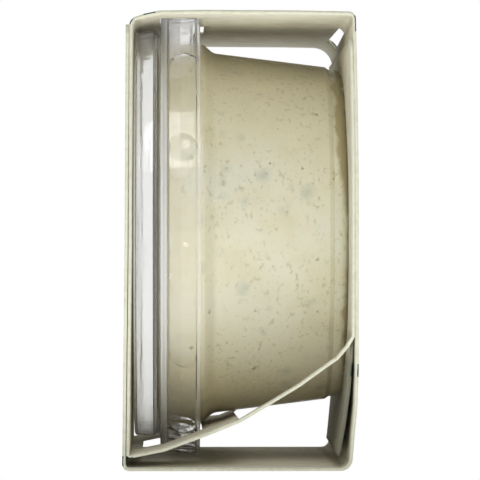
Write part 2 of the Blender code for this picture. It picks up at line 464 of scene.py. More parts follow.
def is_open(places, row, middle):
    """True where the board is cut away, at a row of the line and a depth."""
    if places["top_slot_right"] <= row < places["top_slot_tip"]:
        return abs(middle) < TIP_SLOT_HALF
    if places["top_slot_tip"] <= row < places["top_slot_left"]:
        return abs(middle) < TOP_SLOT_HALF
    if places["cradle_slot_left"] <= row < places["cradle_slot_right"]:
        return abs(middle) < CRADLE_SLOT_HALF
    if places["window_start"] <= row < places["hinge"]:
        return abs(middle) < WINDOW_HALF
    if places["top_fold"] + FOLD_MARGIN <= row < places["top_fold"] + BEND_STEPS - FOLD_MARGIN:
        return FOLD_SLOT[0] < middle < FOLD_SLOT[1]
    return False


# %% [markdown]
# The band as a grid of points
#
# The line is laid once for every depth, which gives a grid: along the band one way and
# from front to back the other. Each point also stores how near a fold it lies, and each
# point of the leg a value for its painted shade, because the materials ask for both. Real
# panels are never quite flat, so a slow noise lets them lean inwards by a tenth of a
# millimetre or less.

# %% Points of the band and of the leg
CREASES = ["bottom_left", "bottom_right", "top_fold", "top_left", "cradle_fold", "hinge"]
CREASE_WIDTH = 2.6
BOARD_WAVE = 0.12
WAVE_SCALE = 0.045
UPRIGHT_FROM = 20.0
LEG_TRIM = 0.988


def board_wave(depth, z):
    """How far a panel leans inwards at a place; the same for the layers that lie together."""
    place = Vector((depth * WAVE_SCALE, z * WAVE_SCALE, 0.0))
    return BOARD_WAVE * (1 + noise.noise(place)) / 2


def add_column(mesh, depth, line, places):
    """Points of the band at one depth, each with its nearness to a fold."""
    crease = mesh.verts.layers.float["crease"]
    folds = [line[places[name]] for name in CREASES]
    column = []
    for x, z in line:
        lean = board_wave(depth, z) * max(-1.0, min(1.0, x / UPRIGHT_FROM))
        vert = mesh.verts.new((x - lean, depth, z))
        nearest = min((Vector((x, z)) - fold).length for fold in folds)
        vert[crease] = max(0.0, 1 - nearest / CREASE_WIDTH)
        column.append(vert)
    return column


def add_leg(mesh, depth, share, hinge):
    """Points of the leg at one depth, from the hinge down, marked for painted shade."""
    leg_shade = mesh.verts.layers.float["leg_shade"]
    leg = [hinge]
    if abs(depth) <= WINDOW_HALF:
        for x, z in leg_corners(depth, share):
            vert = mesh.verts.new((x, depth * LEG_TRIM, z))
            vert[leg_shade] = 1.0
            leg.append(vert)
    return leg


# %% Fill the grid with faces
def grid_depths():
    """Depths of the grid: both edges, the sides of every opening, and steps between."""
    depths = {-HALF_DEPTH, HALF_DEPTH, *FOLD_SLOT}
    for half in (WINDOW_HALF, CRADLE_SLOT_HALF, TOP_SLOT_HALF, TIP_SLOT_HALF):
        depths |= {-half, half}
    return divide(sorted(depths), LONGEST_STEP)


def sleeve_sheet():
    """The open sheet in the middle of the board, with its openings left out."""
    mesh = bmesh.new()
    for layer in ("crease", "leg_shade"):
        mesh.verts.layers.float.new(layer)
    depths = grid_depths()
    columns, legs = [], []
    for depth in depths:
        share = (depth + HALF_DEPTH) / (2 * HALF_DEPTH)
        line, places = fine_line(share)
        columns.append(add_column(mesh, depth, line, places))
        legs.append(add_leg(mesh, depth, share, columns[-1][places["hinge"]]))
    for strips in (columns, legs):
        for near, far, front, back in zip(strips, strips[1:], depths, depths[1:]):
            for row in range(min(len(near), len(far)) - 1):
                if strips is columns and is_open(places, row, (front + back) / 2):
                    continue
                corners = (near[row], far[row], far[row + 1], near[row + 1])
                mesh.faces.new(corners if strips is columns else reversed(corners))
    loose = [vert for vert in mesh.verts if not vert.link_faces]
    bmesh.ops.delete(mesh, geom=loose, context="VERTS")
    bmesh.ops.scale(mesh, vec=(MM, MM, MM), verts=mesh.verts)
    return mesh


# %% From mesh data to a piece
SHARP_FROM = math.radians(40)


def add_piece(name, mesh_data, materials):
    """Turn mesh data into a smooth piece, sharp at steep edges, that rides with the object."""
    mesh = bpy.data.meshes.new(name)
    mesh_data.to_mesh(mesh)
    mesh_data.free()
    mesh.shade_smooth()
    mesh.set_sharp_from_angle(angle=SHARP_FROM)
    for material in materials:
        mesh.materials.append(material)
    piece = bpy.data.objects.new(name, mesh)
    bpy.context.scene.collection.objects.link(piece)
    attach(piece, "root")
    return piece


# %% [markdown]
# Groups of nodes
#
# Some effects are shared by several materials: the fibres of the paper, the wear at the
# folds, the film left by fingers. Each is made once as a node group and placed where it
# is needed, with its own strengths. The noise and bump helpers serve both groups and
# materials.

# %% Helpers for groups, noise and bumps
def new_group(name, inputs, outputs):
    """An empty node group with float sockets; gives the group, its start and its end."""
    group = bpy.data.node_groups.new(name, "ShaderNodeTree")
    for socket, value in inputs.items():
        made = group.interface.new_socket(socket, in_out="INPUT", socket_type="NodeSocketFloat")
        made.default_value = value
    for socket in outputs:
        group.interface.new_socket(socket, in_out="OUTPUT", socket_type="NodeSocketFloat")
    print("group", name)
    return group, add_node(group, "NodeGroupInput"), add_node(group, "NodeGroupOutput")


def place_group(tree, group, inputs=None):
    """Put a node group in a material with its own values."""
    return add_node(tree, "ShaderNodeGroup", inputs, node_tree=group)


def noise_at(tree, scale, detail=3.0, roughness=0.5, stretch=None):
    """Noise in the object's own space, as a grey value; scale is a number or a socket."""
    where = add_node(tree, "ShaderNodeTexCoord").outputs["Object"]
    if stretch:
        mapping = add_node(tree, "ShaderNodeMapping", {"Scale": stretch})
        tree.links.new(where, mapping.inputs["Vector"])
        where = mapping.outputs["Vector"]
    texture = add_node(tree, "ShaderNodeTexNoise", {"Detail": detail, "Roughness": roughness})
    tree.links.new(where, texture.inputs["Vector"])
    if isinstance(scale, bpy.types.NodeSocket):
        tree.links.new(scale, texture.inputs["Scale"])
    else:
        texture.inputs["Scale"].default_value = scale
    return texture.outputs[0]


def add_bump(tree, shader, height, strength, distance):
    """Feed a height to the shader's normal."""
    bump = add_node(tree, "ShaderNodeBump", {"Strength": strength, "Distance": distance})
    tree.links.new(height, bump.inputs["Height"])
    tree.links.new(bump.outputs["Normal"], shader.inputs["Normal"])


# %% [markdown]
# Paper fibre, used by every face of the board
#
# Uncoated board is never one even tone. Its fibres make soft cloudy patches a few
# millimetres wide, and a very fine grain on top. A node group gives both as grey
# values, and each board material places it with its own strength.

# %% Paper fibre group
def paper_fibre_group():
    group, start, end = new_group(
        "paper_fibre", {"Cloud Size": 260.0, "Grain Size": 2600.0}, ["Cloud", "Grain"]
    )
    cloud = noise_at(group, start.outputs["Cloud Size"], detail=4.0, roughness=0.6)
    grain = noise_at(group, start.outputs["Grain Size"], detail=2.0, roughness=0.7)
    group.links.new(cloud, end.inputs["Cloud"])
    group.links.new(grain, end.inputs["Grain"])
    return group


PAPER_FIBRE = paper_fibre_group()

# %% [markdown]
# Wear along the folds
#
# Board breaks a little where it is creased: the surface rubs off and the fold turns
# ragged. That could be painted fold by fold. The sheet carries a value that is 1 on each
# crease and fades beside it, so this group only has to break that value up with noise,
# and it serves all the folds, in the print and on the inside.

# %% Fold wear group
WEAR_RAGGED = 1.2
WEAR_SHARPNESS = 3.0


def fold_wear_group():
    group, start, end = new_group("fold_wear", {"Spread": 0.5}, ["Mask"])
    crease = add_node(group, "ShaderNodeAttribute", attribute_name="crease").outputs["Fac"]
    fibres = noise_at(group, 900.0, detail=4.0, roughness=0.7)
    ragged = maths(group, "MULTIPLY", fibres, WEAR_RAGGED)
    rubbed = maths(group, "SUBTRACT", maths(group, "ADD", crease, start.outputs["Spread"]), ragged)
    sharp = maths(group, "MULTIPLY", rubbed, WEAR_SHARPNESS, clamp=True)
    group.links.new(maths(group, "MULTIPLY", sharp, crease, clamp=True), end.inputs["Mask"])
    return group


FOLD_WEAR = fold_wear_group()

# %% [markdown]
# Bare board
#
# The inside is unprinted: a warm grey-white with cloudy fibres. The real sleeve is a
# little dirty from handling, so a slow noise darkens it in patches, and it is darker
# along the folds as well.
# The leg is given a painted shade, and its points carry a value that says where.

# %% Bare board, for the inside of the sleeve
BOARD_LIGHT = (0.88, 0.86, 0.77)
BOARD_DARK = (0.79, 0.77, 0.66)
BOARD_DARKER_TONE = (0.42, 0.38, 0.28)
# The leg stands back in shade inside the sleeve; this dark colour paints that shade on it.
LEG_SHADE_COLOUR = (0.13, 0.135, 0.10)
DIRT_PATCHES = [(0.52, (0, 0, 0)), (0.8, (0.5, 0.5, 0.5))]
FOLD_DARKENING = 0.5
LEG_SHADE_STRENGTH = 0.5


def bare_board():
    material, tree, shader = material_with_shader("bare_board")
    fibre = place_group(tree, PAPER_FIBRE)
    colour = ramp(tree, fibre.outputs["Cloud"], [(0.3, BOARD_DARK), (0.65, BOARD_LIGHT)])
    dirt = ramp(tree, noise_at(tree, 60.0, detail=5.0, roughness=0.65), DIRT_PATCHES)
    colour = mix_colours(tree, dirt, colour, BOARD_DARKER_TONE)
    # The inside is also made darker along the folds, by the ragged crease mask.
    wear = place_group(tree, FOLD_WEAR, {"Spread": 0.2})
    folds = maths(tree, "MULTIPLY", wear.outputs["Mask"], FOLD_DARKENING)
    colour = mix_colours(tree, folds, colour, BOARD_DARKER_TONE)
    # Painted shade on the leg, set by the value its points carry.
    leg_shade = add_node(tree, "ShaderNodeAttribute", attribute_name="leg_shade").outputs["Fac"]
    colour = mix_colours(tree, maths(tree, "MULTIPLY", leg_shade, LEG_SHADE_STRENGTH), colour, LEG_SHADE_COLOUR)
    tree.links.new(colour, shader.inputs["Base Color"])
    shader.inputs["Roughness"].default_value = 0.8
    shader.inputs["Specular IOR Level"].default_value = 0.2
    add_bump(tree, shader, fibre.outputs["Grain"], strength=0.25, distance=0.00008)
    return material


# %% [markdown]
# Printed outside
#
# The photo shows the print only where it wraps onto the front edges: dark green bands
# at three corners and one low on the right, on cream. The rest is a plain design of
# its own, a green field with a pale disc and an olive stripe on each wide side. All of
# it is measured out from the position on the board, so it stays sharp from close by.

# %% Where the bands run
PRINT_CREAM = (0.80, 0.79, 0.66)
PRINT_GREEN = (0.018, 0.078, 0.058)
PRINT_OLIVE = (0.36, 0.36, 0.16)
LEFT_BANDS = [(1.0, 3.0), (90.3, 92.4)]
RIGHT_BANDS = [(19.0, 21.6), (89.0, 92.2)]
TOP_BAND = (-19.6, -17.2)
BAND_FROM = 21.7
TOP_FROM = 91.3


def band(tree, value, low, high):
    """1 where a value in metres lies between two places in millimetres."""
    node = add_node(tree, "ShaderNodeMath", operation="COMPARE")
    tree.links.new(value, node.inputs[0])
    node.inputs[1].default_value = (low + high) / 2 * MM
    node.inputs[2].default_value = (high - low) / 2 * MM
    return node.outputs[0]


def print_bands_group():
    """The narrow green bands that run round onto the front edges."""
    group, _, end = new_group("print_bands", {}, ["Mask"])
    place = add_node(group, "ShaderNodeSeparateXYZ")
    group.links.new(add_node(group, "ShaderNodeTexCoord").outputs["Object"], place.inputs[0])
    x, _, z = place.outputs
    left = maths(group, "LESS_THAN", x, -BAND_FROM * MM)
    right = maths(group, "GREATER_THAN", x, BAND_FROM * MM)
    top = maths(group, "GREATER_THAN", z, TOP_FROM * MM)
    mask = maths(group, "MULTIPLY", band(group, x, *TOP_BAND), top)
    for panel, bands in ((left, LEFT_BANDS), (right, RIGHT_BANDS)):
        for low, high in bands:
            stripe = maths(group, "MULTIPLY", band(group, z, low, high), panel)
            mask = maths(group, "MAXIMUM", mask, stripe)
    group.links.new(mask, end.inputs["Mask"])
    return group


PRINT_BANDS = print_bands_group()

# %% The printed face
EDGE_LIGHT = (0.74, 0.745, 0.61)
FIELD_HEIGHTS = (29.0, 67.0)
FIELD_HALF_DEPTH = 38.0
DISC_RADIUS = 13.0
STRIPE_HEIGHTS = (71.0, 73.5)
SIDE_FROM = 22.6
PRINT_SHINE = [(0.3, (0.38, 0.38, 0.38)), (0.7, (0.5, 0.5, 0.5))]


def printed_board():
    material, tree, shader = material_with_shader("printed_board")
    place = add_node(tree, "ShaderNodeSeparateXYZ")
    tree.links.new(add_node(tree, "ShaderNodeTexCoord").outputs["Object"], place.inputs[0])
    x, y, z = place.outputs
    side = maths(tree, "GREATER_THAN", maths(tree, "ABSOLUTE", x), SIDE_FROM * MM)
    wide = band(tree, y, -FIELD_HALF_DEPTH, FIELD_HALF_DEPTH)
    panel = maths(tree, "MULTIPLY", side, wide)
    up = maths(tree, "SUBTRACT", z, sum(FIELD_HEIGHTS) / 2 * MM)
    squares = maths(tree, "ADD", maths(tree, "POWER", up, 2), maths(tree, "POWER", y, 2))
    far = maths(tree, "SQRT", squares)
    off_disc = maths(tree, "GREATER_THAN", far, DISC_RADIUS * MM)
    field = maths(tree, "MULTIPLY", band(tree, z, *FIELD_HEIGHTS), off_disc)
    bands = place_group(tree, PRINT_BANDS)
    green = maths(tree, "MAXIMUM", bands.outputs["Mask"], maths(tree, "MULTIPLY", field, panel))
    olive = maths(tree, "MULTIPLY", band(tree, z, *STRIPE_HEIGHTS), panel)
    fibre = place_group(tree, PAPER_FIBRE)
    paper = mix_colours(tree, fibre.outputs["Cloud"], PRINT_CREAM, BOARD_LIGHT)
    printed = mix_colours(tree, olive, mix_colours(tree, green, paper, PRINT_GREEN), PRINT_OLIVE)
    wear = place_group(tree, FOLD_WEAR, {"Spread": 0.1})
    colour = mix_colours(tree, wear.outputs["Mask"], printed, EDGE_LIGHT)
    tree.links.new(colour, shader.inputs["Base Color"])
    tree.links.new(ramp(tree, fibre.outputs["Cloud"], PRINT_SHINE), shader.inputs["Roughness"])
    add_bump(tree, shader, fibre.outputs["Grain"], strength=0.1, distance=0.00005)
    return material


# %% [markdown]
# Cut edges
#
# A punched edge shows the pale middle of the board and its fibres. Where a printed
# band ends there, the punch drags a little of its ink over the outer part of the edge.
# The fibre group is placed again, finer, because we look at the fibres end on.

# %% Cut edges, pale and a little fibrous
EDGE_DARK = (0.68, 0.67, 0.53)
EDGE_LEG_SHADE = 0.8
INK_REACH = 0.85
INK_RAGGED = 0.5
INK_SHARPNESS = 8.0


def cut_edge():
    material, tree, shader = material_with_shader("cut_edge")
    fibre = place_group(tree, PAPER_FIBRE, {"Cloud Size": 700.0, "Grain Size": 5000.0})
    colour = ramp(tree, fibre.outputs["Cloud"], [(0.32, EDGE_DARK), (0.55, EDGE_LIGHT)])
    # The leg's cut edge gets the same painted shade as its faces.
    leg_shade = add_node(tree, "ShaderNodeAttribute", attribute_name="leg_shade").outputs["Fac"]
    colour = mix_colours(tree, maths(tree, "MULTIPLY", leg_shade, EDGE_LEG_SHADE), colour, LEG_SHADE_COLOUR)
    ink = add_node(tree, "ShaderNodeAttribute", attribute_name="ink").outputs["Fac"]
    ragged = maths(tree, "ADD", ink, maths(tree, "MULTIPLY", fibre.outputs["Cloud"], INK_RAGGED))
    past = maths(tree, "SUBTRACT", ragged, INK_REACH)
    wrapped = maths(tree, "MULTIPLY", past, INK_SHARPNESS, clamp=True)
    bands = place_group(tree, PRINT_BANDS)
    wrapped = maths(tree, "MULTIPLY", wrapped, bands.outputs["Mask"])
    colour = mix_colours(tree, wrapped, colour, PRINT_GREEN)
    tree.links.new(colour, shader.inputs["Base Color"])
    shader.inputs["Roughness"].default_value = 0.9
    add_bump(tree, shader, fibre.outputs["Grain"], strength=0.5, distance=0.0001)
    return material


# %% [markdown]
# From sheet to board
#
# Solidify gives the sheet two faces and a rim, each with its own material. It is applied
# here rather than left as a modifier, because only then can the points of the printed
# face be marked. The rim lies between marked and plain points, so along it the mark
# runs from 1 to 0, and the ink on the cut edge fades in between.

# %% Build the sleeve
def mark_printed_face(mesh):
    """Store 1 on every point of the printed face and 0 elsewhere."""
    ink = mesh.attributes.new("ink", "FLOAT", "POINT")
    for face in mesh.polygons:
        if face.material_index == 0:
            for number in face.vertices:
                ink.data[number].value = 1.0


def make_sleeve():
    materials = [printed_board(), bare_board(), cut_edge()]
    piece = add_piece("sleeve", sleeve_sheet(), materials)
    thickness = piece.modifiers.new("board thickness", "SOLIDIFY")
    thickness.thickness = SHOWN_BOARD * MM
    thickness.offset = BOARD / SHOWN_BOARD - 1
    thickness.use_even_offset = True
    thickness.material_offset = 1
    thickness.material_offset_rim = 2
    graph = bpy.context.evaluated_depsgraph_get()
    piece.data = bpy.data.meshes.new_from_object(piece.evaluated_get(graph))
    piece.modifiers.clear()
    mark_printed_face(piece.data)
    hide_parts("carton")
    print("sleeve faces", len(piece.data.polygons))


make_sleeve()

# %% [markdown]
# Turned plastic
#
# Lid and tub are pressed from thin clear sheet over round moulds. Each is an outline
# turned about the tub's axis. Blender's Screw modifier could do that, but here it is
# done point by point, so that the lid's buttons and the cheese's uneven edge can be
# moved in or out as the rings are laid.

# %% Turn an outline about the tub's axis
FINE_FROM = 30.0
COARSE_STEP = 4.0
ON_AXIS = 0.001


def turned(outline, arc_steps, longest, turns, reshape=None):
    """Turn (x, radius, bend) corners; reshape(x, radius, angle) may move each point."""
    corners, _ = rounded_line([("", *corner) for corner in outline], arc_steps)
    line = [corners[0]]
    for before, after in zip(corners, corners[1:]):
        step = longest if min(before.y, after.y) > FINE_FROM else COARSE_STEP
        parts = max(1, math.ceil((after - before).length / step))
        line += [before.lerp(after, part / parts) for part in range(1, parts + 1)]
    mesh = bmesh.new()
    rings = []
    for x, radius in line:
        if radius < ON_AXIS:
            rings.append([mesh.verts.new((x, 0, AXIS_HEIGHT))])
            continue
        ring = []
        for turn in range(turns):
            angle = math.tau * turn / turns
            new_x, new_radius = reshape(x, radius, angle) if reshape else (x, radius)
            place = (new_x, -new_radius * math.cos(angle), AXIS_HEIGHT + new_radius * math.sin(angle))
            ring.append(mesh.verts.new(place))
        rings.append(ring)
    for near, far in zip(rings, rings[1:]):
        for turn in range(turns):
            after = (turn + 1) % turns
            corners = [near[turn % len(near)], near[after % len(near)]]
            corners += [far[after % len(far)], far[turn % len(far)]]
            mesh.faces.new(list(dict.fromkeys(corners)))
    bmesh.ops.scale(mesh, vec=(MM, MM, MM), verts=mesh.verts)
    bmesh.ops.recalc_face_normals(mesh, faces=mesh.faces)
    return mesh


# %% [markdown]
# Handling marks
#
# Thin pressed sheet is never optically flat, and fingers leave faint films on it. The
# group gives a slow wave for the surface and a patchy roughness. The lid and the tub
# both use it, the tub with a duller range because its wall lies against the cheese.

# %% Handling marks group
DRAW_STRETCH = (1.0, 0.12, 0.12)
DRAW_SHARE = 0.35


def handling_marks_group():
    group, start, end = new_group(
        "handling_marks", {"Clear": 0.04, "Filmed": 0.2}, ["Wave", "Roughness"]
    )
    wave = noise_at(group, 130.0, detail=2.0, roughness=0.4)
    drawn = noise_at(group, 420.0, detail=3.0, roughness=0.6, stretch=DRAW_STRETCH)
    both = maths(group, "ADD", wave, maths(group, "MULTIPLY", drawn, DRAW_SHARE))
    film = add_node(group, "ShaderNodeMapRange", {"From Min": 0.42, "From Max": 0.7})
    group.links.new(noise_at(group, 75.0, detail=5.0, roughness=0.65), film.inputs["Value"])
    group.links.new(start.outputs["Clear"], film.inputs["To Min"])
    group.links.new(start.outputs["Filmed"], film.inputs["To Max"])
    group.links.new(both, end.inputs["Wave"])
    group.links.new(film.outputs[0], end.inputs["Roughness"])
    return group


HANDLING_MARKS = handling_marks_group()

# %% [markdown]
# Clear plastic
#
# A Principled shader with full transmission makes clear sheet. Two things are added.
# Where the sheet is drawn hard in the press it turns milky, so a share of the shader's
# transmission is given up as haze. And a glass shader blocks the light on its way to
# what lies behind it, so for shadow rays and soft light the sheet is made transparent.

# %% Clear plastic
MOULD_WAVE = 0.0005


def clear_plastic(name, tint, clear, filmed, waviness, haze):
    """Thin clear sheet, with its least and greatest roughness, its wave and its haze."""
    material, tree, shader = material_with_shader(name)
    shader.inputs["Base Color"].default_value = (*tint, 1.0)
    shader.inputs["IOR"].default_value = 1.5
    shader.inputs["Transmission Weight"].default_value = 1.0 - haze
    marks = place_group(tree, HANDLING_MARKS, {"Clear": clear, "Filmed": filmed})
    tree.links.new(marks.outputs["Roughness"], shader.inputs["Roughness"])
    add_bump(tree, shader, marks.outputs["Wave"], waviness, MOULD_WAVE)
    through = add_node(tree, "ShaderNodeBsdfTransparent", {"Color": (*tint, 1.0)})
    path = add_node(tree, "ShaderNodeLightPath")
    soft = maths(tree, "MAXIMUM", path.outputs["Is Shadow Ray"], path.outputs["Is Diffuse Ray"])
    join_shaders(tree, soft, shader, through, tree.nodes["Material Output"])
    return material


def give_plastic(piece, plastic, lies_there):
    """Give one more plastic to the faces whose middle passes a test on (x, radius)."""
    piece.data.materials.append(plastic)
    for face in piece.data.polygons:
        x, depth, z = face.center / MM
        if lies_there(x, math.hypot(depth, z - AXIS_HEIGHT)):
            face.material_index = len(piece.data.materials) - 1


# %% [markdown]
# Sizes that lid and tub share
#
# The lid snaps over the tub's rim, so both are worked out from the same few sizes. The
# outer ones come from the boxes of the solids, and the others are heights and radii
# that the photo shows, all in millimetres. The base is let out a little, so that it
# nearly touches the flap beside it, as on the real object.

# %% Sizes of the lid and the tub
TUB_WALL = 0.6
LID_WALL = 0.5
FIT_GAP = 0.3
LID_FACE = LID_BOX[0][0] / MM
LIP_EDGE = LID_BOX[1][0] / MM
LIP_RADIUS = (LID_BOX[1][2] - LID_BOX[0][2]) / 2 / MM
RING_RADIUS = 43.7
RIM_FACE = TUB_BOX[0][0] / MM
RIM_RADIUS = (TUB_BOX[1][2] - TUB_BOX[0][2]) / 2 / MM
NECK_RADIUS = 40.9
BODY_RADIUS = 38.65
FOOT_RADIUS = 35.1
BASE_BULGE = 0.4
BASE_FACE = TUB_BOX[1][0] / MM + BASE_BULGE
FOOT_BEND = 2.2
print("lip radius", round(LIP_RADIUS, 2), "rim radius", round(RIM_RADIUS, 2))

# %% [markdown]
# The lid's relief
#
# From the flat face outwards the lid has a raised ring, a groove, a bead, a skirt and a
# lip. The skirt carries a row of round buttons that keep stacked lids apart, and it is
# dented a little where it rests on the board below. Buttons and dents are too small to
# model one by one, so the turning helper asks this function where each point goes.

# %% Buttons and dents in the skirt
SKIRT_START = -14.3
SKIRT_END = -8.8
SKIRT_INSIDE = 45.5
SKIRT_RADIUS = 46.6
BUTTONS = 13
BUTTON_FIRST = math.radians(-6.3)
BUTTON_X = -11.4
BUTTON_RADIUS = 2.4
BUTTON_HEIGHT = 0.8
BUTTON_FLATNESS = 0.4
CRUMPLE_MIDDLE = math.radians(-64)
CRUMPLE_HALF = math.radians(16)
CRUMPLE_DEPTH = 0.15
CRUMPLE_SCALE = (0.55, 0.5)
print("buttons", BUTTONS, "one every", round(math.tau * SKIRT_RADIUS / BUTTONS, 1), "mm")


def press_buttons(x, radius, angle):
    """Push the skirt outwards where a button stands, and dent it where it rests on the board."""
    if radius < SKIRT_INSIDE:
        return x, radius
    if SKIRT_START < x < SKIRT_END:
        turn = math.remainder(angle - CRUMPLE_MIDDLE, math.tau) / CRUMPLE_HALF
        place = Vector((x * CRUMPLE_SCALE[0], radius * angle * CRUMPLE_SCALE[1], 0.0))
        radius += CRUMPLE_DEPTH * noise.noise(place) * max(0.0, 1 - turn**2)
    turn = math.remainder(angle - BUTTON_FIRST, math.tau / BUTTONS)
    distance = math.hypot(x - BUTTON_X, turn * SKIRT_RADIUS) / BUTTON_RADIUS
    return x, radius + BUTTON_HEIGHT * max(0.0, 1 - distance**2) ** BUTTON_FLATNESS


# %% Where the press draws the plastic milky
BEAD_REACH = (-16.4, -14.9)
BEAD_INSIDE = 45.9
LIP_START = -8.75
LIP_INSIDE = 46.9
CORNER_WIDTH = 0.35
CORNER_HEIGHT = 1.0


def lies_on_bead(x, radius):
    """The sharply drawn bead between ring and skirt."""
    return BEAD_REACH[0] < x < BEAD_REACH[1] and radius > BEAD_INSIDE


def lies_on_lip(x, radius):
    """The cut edge of the lip."""
    return x > LIP_START and radius > LIP_INSIDE


def lies_on_corner(x, radius):
    """The rounded corner between the lid's face and its ring."""
    return x < LID_FACE + CORNER_WIDTH and radius > RING_RADIUS - CORNER_HEIGHT


MILKY = [
    ("drawn_plastic", 0.42, lies_on_bead),
    ("lip_plastic", 0.15, lies_on_lip),
    ("white_corner", 0.85, lies_on_corner),
]

# %% [markdown]
# The lid
#
# The outline runs along the outside from the middle of the face to the lip, and back
# along the inside at the thickness of the sheet. Turned about the axis, both runs make
# one closed skin, which is what a clear material needs to bend light as it should.

# %% The lid
LID_CLEAR = (0.992, 0.992, 0.985)
LID_MILKY = (0.99, 0.99, 0.98)
LID_TURNS = BUTTONS * 40
LID_STEP = 0.55
LID_ARC_STEPS = 4
RING_END = -17.5
GROOVE_DEPTH = 0.7
GROOVE = (-17.0, -16.4)
BEAD = (-16.25, -14.95)
BEAD_RADIUS = 46.45
LIP_STEP = (-8.95, -8.7)


def make_lid():
    outline = [
        (LID_FACE, 0, 0),
        (LID_FACE, RING_RADIUS - 0.3, 0.7),
        (RING_END, RING_RADIUS, 0.25),
        (GROOVE[0], RING_RADIUS - GROOVE_DEPTH, 0.2),
        (GROOVE[1], RING_RADIUS - 0.3, 0.2),
        (BEAD[0], BEAD_RADIUS - 0.2, 0.4),
        (BEAD[1], BEAD_RADIUS, 0.3),
        (BEAD[1] + 0.45, BEAD_RADIUS - 0.15, 0.2),
        (LIP_STEP[0], SKIRT_RADIUS + 0.2, 0.15),
        (LIP_STEP[1], LIP_RADIUS, 0.2),
        (LIP_EDGE, LIP_RADIUS, 0.15),
        (LIP_EDGE, BEAD_RADIUS - 0.1, 0.1),
        (RIM_FACE - FIT_GAP, RIM_RADIUS + FIT_GAP, 0.2),
        (RIM_FACE - FIT_GAP, RING_RADIUS - GROOVE_DEPTH, 0.15),
        (GROOVE[0] + 0.1, RING_RADIUS - GROOVE_DEPTH - LID_WALL, 0.2),
        (RING_END - 0.2, RING_RADIUS - LID_WALL, 0.2),
        (LID_FACE + LID_WALL, RING_RADIUS - 0.3 - LID_WALL, 0.3),
        (LID_FACE + LID_WALL, 0, 0),
    ]
    plastic = clear_plastic("lid_plastic", LID_CLEAR, clear=0.03, filmed=0.14, waviness=0.2, haze=0.03)
    skin = turned(outline, LID_ARC_STEPS, LID_STEP, LID_TURNS, press_buttons)
    lid = add_piece("clear_lid", skin, [plastic])
    for name, haze, lies_there in MILKY:
        milky = clear_plastic(name, LID_MILKY, clear=0.08, filmed=0.22, waviness=0.1, haze=haze)
        give_plastic(lid, milky, lies_there)
    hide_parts("lid")
    print("lid faces", len(lid.data.polygons))


make_lid()

# %% [markdown]
# The tub
#
# The tub tapers from a wide neck to a small stepped foot, so that empty tubs nest. Its
# rim turns outwards and then back in a short hem, and the lid snaps over it. The outline
# again runs along the outside and returns along the inside, a wall's thickness away.

# %% The tub
TUB_CLEAR = (0.98, 0.975, 0.96)
TUB_TURNS = 256
TUB_STEP = 2.0
TUB_ARC_STEPS = 5
HEM_WIDTH = 3.0
SHOULDER_X = -5.0
SHOULDER_BEND = 2.6
NECK_X = -7.1
NECK_FLARE = 0.4
NECK_BEND = 1.2
STEP_X = (18.9, 19.8)
STEP_HEIGHT = 0.6
INNER_SHIFT = 0.3


def make_tub():
    wall = TUB_WALL
    hem = RIM_FACE + HEM_WIDTH
    outline = [
        (BASE_FACE, 0, 0),
        (BASE_FACE, FOOT_RADIUS, FOOT_BEND),
        (STEP_X[1], FOOT_RADIUS, 0.4),
        (STEP_X[0], FOOT_RADIUS + STEP_HEIGHT, 0.5),
        (SHOULDER_X, BODY_RADIUS, SHOULDER_BEND),
        (NECK_X, NECK_RADIUS - NECK_FLARE, NECK_BEND),
        (RIM_FACE + wall, NECK_RADIUS, 0.3),
        (RIM_FACE + wall, RIM_RADIUS - wall, 0.1),
        (hem, RIM_RADIUS - wall, 0),
        (hem, RIM_RADIUS, 0),
        (RIM_FACE, RIM_RADIUS, 0.2),
        (RIM_FACE, NECK_RADIUS - wall, 0.3),
        (NECK_X - 0.2, NECK_RADIUS - wall - NECK_FLARE, NECK_BEND),
        (SHOULDER_X - INNER_SHIFT, BODY_RADIUS - wall, SHOULDER_BEND),
        (STEP_X[0] - INNER_SHIFT, FOOT_RADIUS + STEP_HEIGHT - wall, 0.5),
        (STEP_X[1] - INNER_SHIFT, FOOT_RADIUS - wall, 0.4),
        (BASE_FACE - wall, FOOT_RADIUS - wall, FOOT_BEND - wall),
        (BASE_FACE - wall, 0, 0),
    ]
    plastic = clear_plastic("tub_plastic", TUB_CLEAR, clear=0.14, filmed=0.3, waviness=0.05, haze=0.0)
    tub = add_piece("clear_tub", turned(outline, TUB_ARC_STEPS, TUB_STEP, TUB_TURNS), [plastic])
    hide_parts("tub")
    print("tub faces", len(tub.data.polygons))


make_tub()

# %% [markdown]
# Marks in the paste
#
# The cheese is cream with ground nut in it: fine brown specks, and a few soft blue-grey
# blotches from the culture. Both are round marks with ragged edges at random places, so
# one group draws them: hundreds of modelled grains would show no better. Cells of a
# Voronoi texture give each mark a place, a size of its own and a chance to be left out,
# and noise frays its edge.

# %% Scattered marks group
LEAST_SIZE = 0.4
FRAY_FINENESS = 3.0


